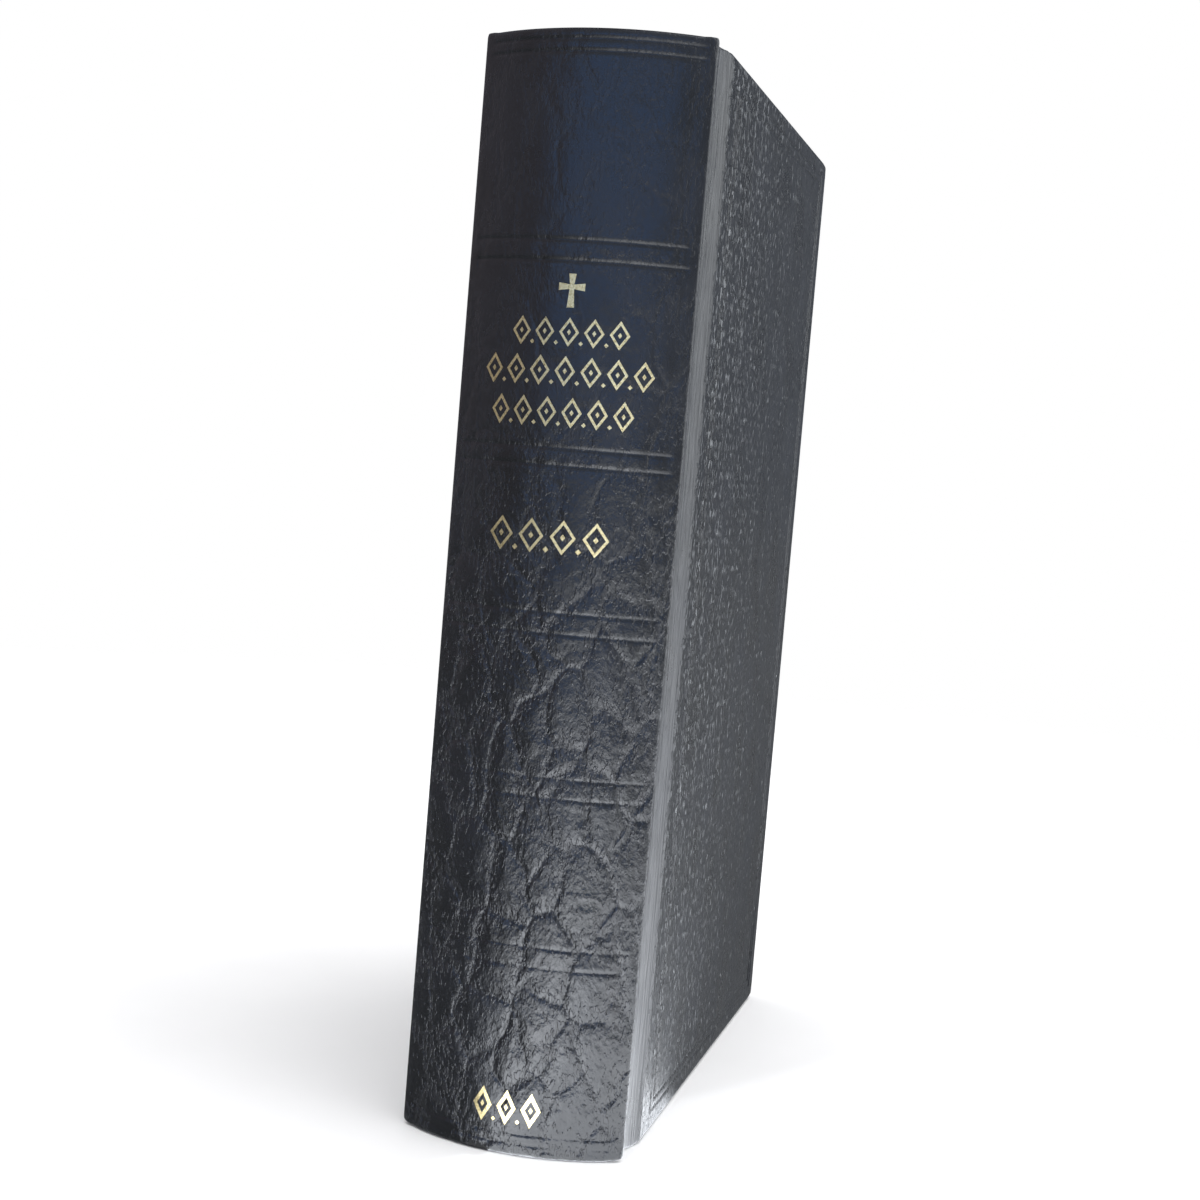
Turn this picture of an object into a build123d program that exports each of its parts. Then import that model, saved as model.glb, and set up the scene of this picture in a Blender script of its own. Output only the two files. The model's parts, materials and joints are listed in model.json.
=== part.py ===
from build123d import *
import math
import os

# A small case-bound prayer book, closed and standing on its tail: sewn gatherings between two
# leather-covered boards, with a rounded spine. The spine faces -Y, the fore-edge faces +Y and
# the front cover is on +X. The origin is the middle of the closed book's base.
# All sizes are in millimetres.

# Overall sizes
HEIGHT = 150.0  # boards, tail to head
COVER_DEPTH = 90.0  # spine's ridges to the boards' fore-edge
SPINE_ROUND = 5.0  # crown of the spine in front of its ridges
GATHERINGS = 24
GATHERING_PITCH = 1.075  # thickness that one gathering adds to the block
SQUARE = 3.0  # boards beyond the leaves at head, tail and fore-edge

# Materials' thicknesses
LEATHER = 0.5
TURN_IN = 0.4  # pared leather on the insides of the boards and the spine
BOARD = 2.0
PASTEDOWN = 0.15
FLYLEAF = 0.15
INLAY = 0.5
LINING = 0.15
MULL = 0.25

# Covers
JOINT_WIDTH = 7.8  # ridge to the boards' back edge
GROOVE_DEPTH = 1.4
GROOVE_WALL = 1.2  # ridge to the groove's bottom
RIDGE_RADIUS = 0.8
TURN_IN_WIDTH = 12.0
PASTEDOWN_MARGIN = 3.5  # leather left bare round the pastedown
PASTEDOWN_START = 5.0  # ridge to the pastedown's edge in the joint
MULL_FLAP_WIDTH = 22.0
MULL_MARGIN = 14.0  # mull's ends to the boards' ends

# Covers' hinge lines
HINGE_SETBACK = 3.5  # behind the ridges
HINGE_SPLIT = 0.05  # leather's edge to the hinge line

# Text block
FORE_EDGE_HOLLOW = 4.2  # the middle leaves' edges behind the outer leaves' edges
LEAF_HINGE = 3.0  # ridge to the line where the leaves turn
NECK_START = 0.2  # leaves' first edge past that line
NECK_THICKNESS = 0.44
NECK_LENGTH = 8.5
FOLD_SETBACK = 0.4  # fold block's edge short of that line
SHOULDER = 14.0  # half the width of the folds at the spine
KERF_DEPTH = 0.6
KERF_WIDTH = 0.8
THREAD_DIAMETER = 0.4
SEWING_STATIONS = (16.0, 45.5, 75.0, 104.5, 134.0)
BEAD_DIAMETER = 1.7
SKIRT = 0.2
SKIRT_HEIGHT = 8.0
BAND_HALF_WIDTH = 12.8

# Clearances
GLUE = 0.02
LEAF_GAP = 0.04  # between neighbouring gatherings, and gathering to flyleaf
COVER_GAP = 0.1  # flyleaf to pastedown
HOLLOW = 0.5  # spine inlay to lining, with the spine's turn-ins between them
INLAY_STOP = 2.2  # inlay's edge to the ridge
LINING_STOP = 3.2  # lining's edge to the ridge

# Layers of a cover, from the block's middle plane outwards
BLOCK_HALF = GATHERINGS * GATHERING_PITCH / 2
FLYLEAF_X = BLOCK_HALF + LEAF_GAP
PASTEDOWN_X = FLYLEAF_X + FLYLEAF + COVER_GAP
TURN_IN_X = PASTEDOWN_X + PASTEDOWN + GLUE
BOARD_X = TURN_IN_X + TURN_IN + GLUE
LEATHER_X = BOARD_X + BOARD + GLUE
COVER_X = LEATHER_X + LEATHER

# Places along the book's depth
RIDGE_Y = (SPINE_ROUND - COVER_DEPTH) / 2
FORE_Y = RIDGE_Y + COVER_DEPTH
BOARD_Y = RIDGE_Y + JOINT_WIDTH
HINGE_Y = RIDGE_Y + HINGE_SETBACK
LEAF_HINGE_Y = RIDGE_Y + LEAF_HINGE
FOLD_Y = LEAF_HINGE_Y - FOLD_SETBACK
LEAF_FORE_Y = FORE_Y - SQUARE
LEAF_TAIL = SQUARE
LEAF_HEAD = HEIGHT - SQUARE

# Spine's curve, and the depth of each layer below the leather's surface
SPINE_RADIUS = (COVER_X**2 + SPINE_ROUND**2) / (2 * SPINE_ROUND)
SPINE_CENTRE_Y = RIDGE_Y - SPINE_ROUND + SPINE_RADIUS
INLAY_DEPTH = LEATHER + GLUE
SPINE_TURN_IN_DEPTH = INLAY_DEPTH + INLAY + GLUE
LINING_DEPTH = INLAY_DEPTH + INLAY + HOLLOW
MULL_DEPTH = LINING_DEPTH + LINING + GLUE
FOLD_DEPTH = MULL_DEPTH + MULL + GLUE


def block(x0, x1, y0, y1, z0, z1):
    """A box between two corners."""
    return Pos(x0, y0, z0) * Box(x1 - x0, y1 - y0, z1 - z0, align=(Align.MIN,) * 3)


def spine_y(depth, x):
    """Where a layer of the spine lies at distance x from the middle plane."""
    return SPINE_CENTRE_Y - math.sqrt((SPINE_RADIUS - depth) ** 2 - x**2)


def spine_arc(depth, half_width, z=0.0):
    """The curve of a layer of the spine, from the back cover's side to the front cover's."""
    end_y = spine_y(depth, half_width)
    return ThreePointArc((-half_width, end_y, z), (0, spine_y(depth, 0), z), (half_width, end_y, z))


def curved_strip(outer_depth, inner_depth, half_width, z0, z1):
    """A strip that follows the spine's curve between two depths."""
    outer = spine_arc(outer_depth, half_width)
    inner = spine_arc(inner_depth, half_width)
    sides = [Line(outer @ 0, inner @ 0), Line(outer @ 1, inner @ 1)]
    return Pos(0, 0, z0) * extrude(make_face([outer, inner, *sides]), z1 - z0)


def prism(points, z0, z1):
    """An upright solid on an outline of straight edges."""
    return Pos(0, 0, z0) * extrude(make_face(Polyline(*points, close=True)), z1 - z0)


def groove_x(y):
    """The outside of the leather on the groove's slope, between its bottom and the board."""
    share = (y - RIDGE_Y - GROOVE_WALL) / (JOINT_WIDTH - GROOVE_WALL)
    return COVER_X - GROOVE_DEPTH * (1 - share)


def spine_outline():
    """The closed outline of the spine and both grooves, past the hinge lines."""
    groove_y = RIDGE_Y + GROOVE_WALL
    end_y = BOARD_Y
    edges = [spine_arc(0, COVER_X)]
    for side in (-1, 1):
        path = [(COVER_X, RIDGE_Y), (groove_x(groove_y), groove_y), (COVER_X, end_y)]
        edges.append(Polyline(*[(side * x, y) for x, y in path]))
    edges.append(Line((-COVER_X, end_y), (COVER_X, end_y)))
    face = make_face(edges)
    ridges = face.vertices().filter_by(lambda v: abs(v.Y - RIDGE_Y) < GLUE)
    return fillet(ridges, RIDGE_RADIUS)


def spine_leather():
    """Spine covering with its half of both grooves, turned in at head and tail."""
    outline = spine_outline()
    skin = extrude(outline - offset(outline, -LEATHER, kind=Kind.INTERSECTION), HEIGHT)
    skin -= block(-COVER_X, COVER_X, HINGE_Y - HINGE_SPLIT, FORE_Y, 0, HEIGHT)
    half_width = COVER_X - INLAY_STOP
    inner_depth = SPINE_TURN_IN_DEPTH + TURN_IN
    for z0, z1 in ((0, LEATHER), (HEIGHT - LEATHER, HEIGHT)):
        skin += curved_strip(LEATHER / 2, inner_depth, half_width, z0, z1)
    for z0, z1 in ((0, TURN_IN_WIDTH), (HEIGHT - TURN_IN_WIDTH, HEIGHT)):
        skin += curved_strip(SPINE_TURN_IN_DEPTH, inner_depth, half_width, z0, z1)
    return skin


def spine_inlay():
    """Card strip that stiffens the spine between the leather and its turn-ins."""
    end = LEATHER + GLUE
    return curved_strip(INLAY_DEPTH, INLAY_DEPTH + INLAY, COVER_X - INLAY_STOP, end, HEIGHT - end)


def spine_lining():
    """Paper glued over the mull, in front of the folds."""
    outer, inner = LINING_DEPTH, LINING_DEPTH + LINING
    return curved_strip(outer, inner, COVER_X - LINING_STOP, LEAF_TAIL, LEAF_HEAD)


def fold_outline():
    """The outline of all the folds together: splayed at the spine, rounded in front."""
    back = spine_arc(FOLD_DEPTH, SHOULDER)
    corners = [(-BLOCK_HALF, FOLD_Y), (BLOCK_HALF, FOLD_Y)]
    return make_face([back, Polyline(back @ 0, *corners, back @ 1)])


def mull():
    """Open-weave cloth glued round the folds, from one shoulder to the other."""
    outline = fold_outline()
    outside = offset(outline, GLUE + MULL, kind=Kind.INTERSECTION)
    inside = offset(outline, GLUE, kind=Kind.INTERSECTION)
    cloth = Pos(0, 0, MULL_MARGIN) * extrude(outside - inside, HEIGHT - 2 * MULL_MARGIN)
    return cloth - block(-COVER_X, COVER_X, FOLD_Y, FORE_Y, 0, HEIGHT)


def sewn_folds():
    """The folded backs of the gatherings, with a kerf across them at each sewing station."""
    splay = SHOULDER / BLOCK_HALF
    tips = []
    for i in range(GATHERINGS):
        x0 = i * GATHERING_PITCH - BLOCK_HALF + GLUE / 2
        x1 = x0 + GATHERING_PITCH - GLUE
        back = [(x * splay, spine_y(FOLD_DEPTH, x * splay)) for x in (x1, x0)]
        tips.append(prism([(x0, FOLD_Y), (x1, FOLD_Y), *back], LEAF_TAIL, LEAF_HEAD))
    kerfs = []
    for z in SEWING_STATIONS:
        low, high = z - KERF_WIDTH / 2, z + KERF_WIDTH / 2
        kerfs.append(curved_strip(MULL_DEPTH, FOLD_DEPTH + KERF_DEPTH, SHOULDER + MULL, low, high))
    return Compound(children=[tip - kerfs for tip in tips])


def curved_cord(depth, diameter, half_width, z):
    """A round strand that follows the spine's curve."""
    path = spine_arc(depth, half_width, z)
    return sweep(Plane(origin=path @ 0, z_dir=path % 0) * Circle(diameter / 2), path=path)


def sewing_thread():
    """The strands that link the gatherings, one in each kerf."""
    depth = FOLD_DEPTH + KERF_DEPTH / 2
    strands = [curved_cord(depth, THREAD_DIAMETER, BAND_HALF_WIDTH, z) for z in SEWING_STATIONS]
    return Compound(children=strands)


def end_band(bead_z, skirt_low, skirt_high):
    """A headband: a beaded edge on the folds' ends, on a cloth skirt glued to their backs."""
    bead_depth = SPINE_TURN_IN_DEPTH + TURN_IN + GLUE + BEAD_DIAMETER / 2
    bead = curved_cord(bead_depth, BEAD_DIAMETER, BAND_HALF_WIDTH, bead_z)
    inner = FOLD_DEPTH - GLUE
    return bead + curved_strip(inner - SKIRT, inner, BAND_HALF_WIDTH, skirt_low, skirt_high)


def headband():
    bead_z = LEAF_HEAD + GLUE + BEAD_DIAMETER / 2
    return end_band(bead_z, LEAF_HEAD - SKIRT_HEIGHT, bead_z)


def tailband():
    bead_z = LEAF_TAIL - GLUE - BEAD_DIAMETER / 2
    return end_band(bead_z, bead_z, LEAF_TAIL + SKIRT_HEIGHT)


def gathering(index):
    """Turning leaves of one gathering, thinned towards the line where they turn."""
    middle = (index + 0.5) * GATHERING_PITCH - BLOCK_HALF
    hollow = FORE_EDGE_HOLLOW * (1 - (middle / BLOCK_HALF) ** 2)
    neck, half = NECK_THICKNESS / 2, (GATHERING_PITCH - LEAF_GAP) / 2
    right = [
        (middle + neck, LEAF_HINGE_Y + NECK_START),
        (middle + half, LEAF_HINGE_Y + NECK_LENGTH),
        (middle + half, LEAF_FORE_Y - hollow),
    ]
    left = [(2 * middle - x, y) for x, y in reversed(right)]
    return prism(right + left, LEAF_TAIL, LEAF_HEAD)


def flyleaf():
    """Front flyleaf, free beyond the line where it turns."""
    y0 = LEAF_HINGE_Y + NECK_START
    return block(FLYLEAF_X, FLYLEAF_X + FLYLEAF, y0, LEAF_FORE_Y, LEAF_TAIL, LEAF_HEAD)


def board():
    """Front board, inside its leather."""
    end = LEATHER + GLUE
    return block(BOARD_X, BOARD_X + BOARD, BOARD_Y, FORE_Y - end, end, HEIGHT - end)


def pastedown():
    """Paper glued down over the front board's turn-ins."""
    y0, y1 = RIDGE_Y + PASTEDOWN_START, FORE_Y - PASTEDOWN_MARGIN
    z0, z1 = PASTEDOWN_MARGIN, HEIGHT - PASTEDOWN_MARGIN
    return block(PASTEDOWN_X, PASTEDOWN_X + PASTEDOWN, y0, y1, z0, z1)


def mull_flap():
    """The mull's edge, glued to the front board under the pastedown."""
    x1 = BOARD_X - GLUE
    y1 = BOARD_Y + MULL_FLAP_WIDTH
    return block(x1 - MULL, x1, BOARD_Y + GLUE, y1, MULL_MARGIN, HEIGHT - MULL_MARGIN)


def cover_leather():
    """Front cover's leather: its half of the groove, the face, three edges and the turn-ins."""
    tray = block(TURN_IN_X, COVER_X, BOARD_Y, FORE_Y, 0, HEIGHT)
    tray -= block(TURN_IN_X + TURN_IN, LEATHER_X, BOARD_Y, FORE_Y - LEATHER, LEATHER, HEIGHT - LEATHER)
    window_y, window_z = FORE_Y - TURN_IN_WIDTH, TURN_IN_WIDTH
    tray -= block(TURN_IN_X, LEATHER_X, BOARD_Y, window_y, window_z, HEIGHT - window_z)
    edge_y = HINGE_Y + HINGE_SPLIT
    slope = [(groove_x(edge_y), edge_y), (COVER_X, BOARD_Y)]
    inside = [(x - LEATHER, y) for x, y in reversed(slope)]
    return tray + prism(slope + inside, 0, HEIGHT)


def main():
    nodes = {
        "spine_leather": spine_leather(),
        "spine_inlay": spine_inlay(),
        "spine_lining": spine_lining(),
        "mull": mull(),
        "sewn_folds": sewn_folds(),
        "sewing_thread": sewing_thread(),
        "headband": headband(),
        "tailband": tailband(),
    }
    for number in range(1, GATHERINGS + 1):
        nodes[f"gathering_{number:02d}"] = gathering(GATHERINGS - number)
    halves = {
        "board": board(),
        "cover_leather": cover_leather(),
        "mull_flap": mull_flap(),
        "pastedown": pastedown(),
        "flyleaf": flyleaf(),
    }
    for name, piece in halves.items():
        nodes[f"front_{name}"] = piece
        nodes[f"back_{name}"] = mirror(piece, about=Plane.YZ)
    os.makedirs("parts", exist_ok=True)
    for name, piece in nodes.items():
        export_step(piece, f"parts/{name}.step")


main()
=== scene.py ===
import bmesh
import bpy
import json
import math
import numpy as np
from mathutils import Matrix, Vector, noise


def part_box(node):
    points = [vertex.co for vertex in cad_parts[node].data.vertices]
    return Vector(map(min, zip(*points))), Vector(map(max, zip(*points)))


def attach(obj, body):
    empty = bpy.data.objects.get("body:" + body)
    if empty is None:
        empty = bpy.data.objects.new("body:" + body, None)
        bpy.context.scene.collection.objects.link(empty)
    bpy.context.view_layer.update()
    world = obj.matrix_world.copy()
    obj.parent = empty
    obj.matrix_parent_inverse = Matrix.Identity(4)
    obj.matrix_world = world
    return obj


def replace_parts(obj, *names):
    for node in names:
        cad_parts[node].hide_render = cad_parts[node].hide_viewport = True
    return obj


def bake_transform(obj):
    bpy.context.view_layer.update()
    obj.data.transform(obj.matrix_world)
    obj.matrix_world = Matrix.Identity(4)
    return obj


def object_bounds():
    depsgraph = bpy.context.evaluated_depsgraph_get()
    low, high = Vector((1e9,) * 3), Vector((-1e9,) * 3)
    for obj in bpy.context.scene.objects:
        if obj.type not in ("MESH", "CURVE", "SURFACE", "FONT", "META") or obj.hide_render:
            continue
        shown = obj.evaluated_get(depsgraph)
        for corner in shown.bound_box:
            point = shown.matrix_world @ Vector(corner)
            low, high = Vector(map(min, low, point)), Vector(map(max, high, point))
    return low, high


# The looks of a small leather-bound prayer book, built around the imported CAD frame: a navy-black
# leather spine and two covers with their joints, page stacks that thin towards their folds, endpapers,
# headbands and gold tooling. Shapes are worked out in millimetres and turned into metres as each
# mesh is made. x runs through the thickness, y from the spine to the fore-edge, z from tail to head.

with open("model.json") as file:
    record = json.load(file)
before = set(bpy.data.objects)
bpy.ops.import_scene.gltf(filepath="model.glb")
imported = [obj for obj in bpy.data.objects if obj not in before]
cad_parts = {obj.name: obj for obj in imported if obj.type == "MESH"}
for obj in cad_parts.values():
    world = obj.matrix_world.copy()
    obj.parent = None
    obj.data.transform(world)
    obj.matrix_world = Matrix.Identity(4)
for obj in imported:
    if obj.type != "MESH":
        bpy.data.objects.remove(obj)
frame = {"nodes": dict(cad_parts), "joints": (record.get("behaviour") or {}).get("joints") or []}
cad_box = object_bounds()
MM = 0.001

# Places taken from the frame
HEIGHT = (cad_box[1].z - cad_box[0].z) / MM
COVER_X = cad_box[1].x / MM
CROWN_Y = cad_box[0].y / MM
FORE_Y = cad_box[1].y / MM
TURN_IN_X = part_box("front_cover_leather")[0].x / MM
BOARD_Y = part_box("front_board")[0].y / MM
FOLD_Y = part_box("sewn_folds")[1].y / MM
PASTEDOWN_LOW, PASTEDOWN_HIGH = (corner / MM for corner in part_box("front_pastedown"))
FLYLEAF_LOW, FLYLEAF_HIGH = (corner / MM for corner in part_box("front_flyleaf"))
BEAD_HALF_WIDTH = (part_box("headband")[1] / MM).x - 0.01
HINGES = {joint["child"]: joint for joint in frame["joints"]}

# The CAD model's own values for the spine, the joints and the leather
SPINE_ROUND = 5.0
GROOVE_WALL = 1.2
GROOVE_DEPTH = 1.4
LEATHER = 0.5
TURN_IN = 0.4
TURN_IN_WIDTH = 12.0
INLAY = 0.54  # the CAD's 0.5 with the glue on both sides
INLAY_STOP = 2.1  # the CAD's is 2.2
RIDGE_Y = CROWN_Y + SPINE_ROUND
SPINE_RADIUS = (COVER_X**2 + SPINE_ROUND**2) / (2 * SPINE_ROUND)
SPINE_CENTRE_Y = CROWN_Y + SPINE_RADIUS

# Roundings and the joint's slope, matched to the photo
RIDGE_RADIUS = 0.6
VALLEY_RADIUS = 0.5
JOINT_EDGE_RADIUS = 1.2  # where the slope meets the board's back edge
JOINT_HOLLOW = 2.6  # exponent of the slope: 1 is straight, and more is hollower
EDGE_RADIUS = 0.85  # the cover's edges, in section
PLAN_RADIUS = 1.5  # the cover's two outer corners, seen from the side

# The endpaper's way through the joint: x, and how far behind the ridge
ENDSHEET_PATH = ((13.12, 3.0), (13.5, 3.35), (13.9, 4.0), (14.1, 5.0), (14.3, 6.0), (14.2, 6.6),
                 (13.9, 7.0), (13.45, 7.3), (13.27, 7.55))

# The leather pulls up a little at the tail of each joint
TAIL_DROP = 0.7
TAIL_DROP_HEIGHT = 7.0

# Blind tooling
SPINE_RULES = (1.7, 3.1, 26.0, 28.7, 49.0, 51.7, 70.9, 73.7, 93.1, 95.4, 119.9, 122.6, 146.9, 148.5)
RULE_DEPTH = 0.14
RULE_HALF_WIDTH = 0.24
COVER_FRAMES = ((4.8, 3.0, 4.2), (6.6, 4.4, 5.8))  # from the board's back edge, its ends, its fore-edge
FRAME_DEPTH = 0.17
FRAME_HALF_WIDTH = 0.28

# The spine's natural relief: the depth of its waves, then of creases and fine grain at the head and
# how much more of each there is at the tail
WAVE_DEPTH = 0.06
CREASE_DEPTH = (0.015, 0.075)
FINE_DEPTH = (0.004, 0.010)

# Spacing of the mesh stations, and how far from a tooled line they are closer
SPINE_STEP, SPINE_SPREAD = 0.62, 0.9
COVER_STEP_Y, COVER_STEP_Z, COVER_SPREAD = 2.2, 3.0, 0.7
COVER_LAYERS = (0, 0.0723, 0.1446, 0.2168, 0.2891, 0.5, 0.7109, 0.7832, 0.8554, 0.9277, 1)  # of its depth

# A stack of leaves: its facets, its neck at the fold, and how uneven its edges are
STACK_LEAVES = 9
NECK_MIN = 0.44
NECK_GAP = 0.09
NECK_LENGTH = 7.5
RAGGED_FORE_EDGE = 0.10
RAGGED_ENDS = 0.05

# Headbands: the bead's radius and its depth below the spine's surface, its winding and its cloth skirt
BEAD_RADIUS = 0.85
BEAD_DEPTH = 1.46
BEAD_TURNS = 44
BEAD_AROUND = 14
RINGS_PER_TURN = 6
BEAD_SPAN, SKIRT_SPAN = 0.985, 0.98  # shares of the width
SKIRT_THICKNESS = 0.16
SKIRT_COLUMNS = 40

# Gold leaf: how far it stands out of the leather and reaches into it, and its largest facet
FOIL = 0.035
FOIL_UNDER = -0.12
FOIL_STEP = 0.3
CROSS = {"s": 0.2, "z0": 113.8, "z1": 118.2, "arm_z": 116.5, "arm": 1.8, "stem": 0.6, "flare": 0.2}
# Rows of lozenges: their count, from and to along the spine's arc, height, half height, opening
GOLD_ROWS = {
    "gold_title_rows": ((5, -8.2, 8.8, 110.6, 1.9, 0.70), (7, -12.2, 12.5, 105.5, 2.0, 0.70),
                        (6, -10.6, 10.2, 100.1, 2.0, 0.70)),
    "gold_panel_row": ((4, -9.4, 8.4, 83.7, 2.3, 0.74),),
    "gold_tail_row": ((3, -4.8, 5.5, 6.5, 2.4, 0.58),),
}
LOZENGE_SHARE = 0.40  # a lozenge's half width in its row's pitch
DOT_SHARE = 0.09
DOT_DROP = 0.75  # how far down a lozenge's half height the dots between lie
SEED_SHARE = 0.2

# The studio, in metres, and the floor's height in millimetres
FLOOR_SIZE = 8.0
FLOOR_CELLS = 8
FLOOR_Z = -0.05
FLOOR_FADE = (0.22, 0.55)
LIGHTS = {  # place, target, width, height, radiance
    "key": ((0.96, 0.28, 0.60), (0, 0, 0.07), 1.74, 1.2, 1.3),
    "top": ((0.15, -0.2, 1.5), (0, 0, 0), 1.5, 1.5, 3.4),
    "fill": ((-1.3, 0.2, 0.7), (0, 0, 0.07), 1.4, 1.0, 0.6),
}

# The room that the gloss sees, by height and then by azimuth from -Y towards +X
ROOM_EDGE = -30.0
SKY = ((0.0, (0.55, 0.62, 0.80)), (0.09, (0.52, 0.66, 1.0)), (0.14, (0.56, 0.92, 1.8)),
       (0.185, (0.6, 1.6, 4.0)), (0.22, (0.5, 0.65, 0.95)), (0.8, (0.5, 0.55, 0.65)))
LEFT_WALL = (0.37, 0.33, 0.37)
RIGHT_WALL = (0.45, 0.50, 0.60)
SIDE_WINDOW = (2.2, 2.3, 2.4)
BACK_WALL = (0.13, 0.145, 0.175)
PLAIN_LIGHT = (0.52, 0.52, 0.54, 1)
WHITE = (1, 1, 1, 1)

# The card over the table that the gloss sees
CARD_START = (-3.8 * MM, CROWN_Y * MM, -0.02 * MM)
CARD_LIMIT = 9.0
CARD_LEFT = 0.25
CARD_TINT = (0.98, 1.02, 1.08)

CAMERA_PLACE = Vector((71.18, -279.78, 92.98)) * MM
CAMERA_AZIMUTH = math.radians(15.32)
CAMERA_ELEVATION = math.radians(4.02)
CAMERA_ROLL = math.radians(4.80)
LENS = 55.23
SENSOR = 36.0
CLIP_START = 0.01


# ------------ meshes

def link_object(name, data):
    obj = bpy.data.objects.new(name, data)
    bpy.context.scene.collection.objects.link(obj)
    return obj


def piece(name, points, faces, grain=None, sharp=40.0):
    """A mesh object from points in millimetres, with the coordinates that its grain is drawn in."""
    mesh = bpy.data.meshes.new(name)
    mesh.from_pydata((np.asarray(points) * MM).tolist(), [], faces)
    if grain is not None:
        attribute = mesh.attributes.new("grain", "FLOAT_VECTOR", "POINT")
        attribute.data.foreach_set("vector", np.asarray(grain, np.float32).ravel())
    mesh.polygons.foreach_set("use_smooth", [True] * len(mesh.polygons))
    mesh.validate()
    mesh.update()
    mesh.set_sharp_from_angle(angle=math.radians(sharp))
    return link_object(name, mesh)


def outward(obj):
    """Makes every face look out."""
    work = bmesh.new()
    work.from_mesh(obj.data)
    bmesh.ops.recalc_face_normals(work, faces=work.faces)
    work.to_mesh(obj.data)
    work.free()
    return obj


def tube_faces(rings, around):
    """Faces of a closed sweep: rings of points, each joined to the next, with both ends capped."""
    faces = []
    for i in range(rings - 1):
        for j in range(around):
            k = (j + 1) % around
            faces.append((i * around + j, i * around + k, (i + 1) * around + k, (i + 1) * around + j))
    faces.append(tuple(range(around))[::-1])
    faces.append(tuple((rings - 1) * around + j for j in range(around)))
    return faces


def smooth(low, high, value):
    """0 below low, 1 above high, with a soft step between."""
    t = np.clip((value - low) / (high - low), 0, 1)
    return t * t * (3 - 2 * t)


def refined(start, end, step, lines, spread):
    """Evenly spaced stations with closer ones beside each line."""
    stations = list(np.linspace(start, end, max(2, round((end - start) / step) + 1)))
    for line in lines:
        stations = [s for s in stations if abs(s - line) > spread or s in (start, end)]
        near = [line + spread * share for share in (-1, -0.6, -0.36, -0.18, 0, 0.18, 0.36, 0.6, 1)]
        stations += [s for s in near if start < s < end]
    stations.sort()
    kept = [stations[0]]
    for s in stations[1:]:
        if s - kept[-1] > 0.04:
            kept.append(s)
    kept[-1] = end
    return np.array(kept)


# ------------ the cover's outline, seen from above

def corner_arc(before, corner, after, radius, steps):
    """Points and directions round a corner, as rows of x, y, dx, dy."""
    a, b = corner - before, after - corner
    a, b = a / np.linalg.norm(a), b / np.linalg.norm(b)
    turn = math.atan2(a[0] * b[1] - a[1] * b[0], a @ b)
    centre = corner - a * radius * math.tan(abs(turn) / 2)
    centre = centre + math.copysign(radius, turn) * np.array([-a[1], a[0]])
    rows = []
    for angle in np.linspace(0, turn, steps):
        c, s = math.cos(angle), math.sin(angle)
        d = np.array([a[0] * c - a[1] * s, a[0] * s + a[1] * c])
        point = centre - math.copysign(radius, turn) * np.array([-d[1], d[0]])
        rows.append([*point, *d])
    return rows


RIDGE = np.array([COVER_X, RIDGE_Y])
VALLEY = np.array([COVER_X - GROOVE_DEPTH, RIDGE_Y + GROOVE_WALL])
SLOPE_END = np.array([COVER_X, BOARD_Y])
RIDGE_ANGLE = math.asin(COVER_X / SPINE_RADIUS)
RIDGE_TANGENT = np.array([math.cos(RIDGE_ANGLE), math.sin(RIDGE_ANGLE)])
VALLEY_ARC = corner_arc(RIDGE, VALLEY, SLOPE_END, VALLEY_RADIUS, 7)


def spine_profile():
    """The spine's outside from one groove to the other, as rows of x, y, dx, dy, and its arc lengths."""
    ridge_arc = corner_arc(RIDGE - RIDGE_TANGENT, RIDGE, VALLEY, RIDGE_RADIUS, 9)
    last = math.asin(ridge_arc[0][0] / SPINE_RADIUS)
    half = []
    for angle in np.linspace(0, last, 48)[:-1]:
        c, s = math.cos(angle), math.sin(angle)
        half.append([SPINE_RADIUS * s, SPINE_CENTRE_Y - SPINE_RADIUS * c, c, s])
    half += ridge_arc + VALLEY_ARC[:4]
    half = np.array(half)
    mirrored = half[:0:-1] * [-1, 1, 1, -1]
    rows = np.vstack([mirrored, half])
    lengths = np.concatenate([[0], np.cumsum(np.linalg.norm(np.diff(rows[:, :2], axis=0), axis=1))])
    return rows, lengths - lengths[len(half) - 1]


SPINE_ROWS, SPINE_S = spine_profile()
SPINE_NORMALS = np.stack([SPINE_ROWS[:, 3], -SPINE_ROWS[:, 2]], 1)
RIDGE_S = SPINE_RADIUS * RIDGE_ANGLE


def spine_relief(s, z):
    """How far the spine's surface stands out at arc length s and height z: rules, creases and waves."""
    inside = 1 - smooth(RIDGE_S - 2.6, RIDGE_S - 1.5, abs(s))
    rules = sum(math.exp(-(((z - rule) / RULE_HALF_WIDTH) ** 2)) for rule in SPINE_RULES)
    low = 1 - float(smooth(35, 100, z))
    place = Vector((s * 0.8 + z * 0.35, z * 0.75 - s * 0.45, 3.1))
    waves = noise.fractal(place * 0.09, 1.0, 2.0, 3)
    near, _ = noise.voronoi(place * 0.13 + Vector((waves, waves, 0)) * 0.5)
    crease = math.exp(-(((near[1] - near[0]) / 0.16) ** 2))
    fine = noise.fractal(place * 0.9, 0.9, 2.1, 3)
    quiet = 1 - min(1, rules)
    creased = (CREASE_DEPTH[0] + CREASE_DEPTH[1] * low) * crease * quiet
    relief = WAVE_DEPTH * waves - creased + (FINE_DEPTH[0] + FINE_DEPTH[1] * low) * fine
    return (relief - WAVE_DEPTH) * inside - RULE_DEPTH * min(1, rules) * inside


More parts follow.
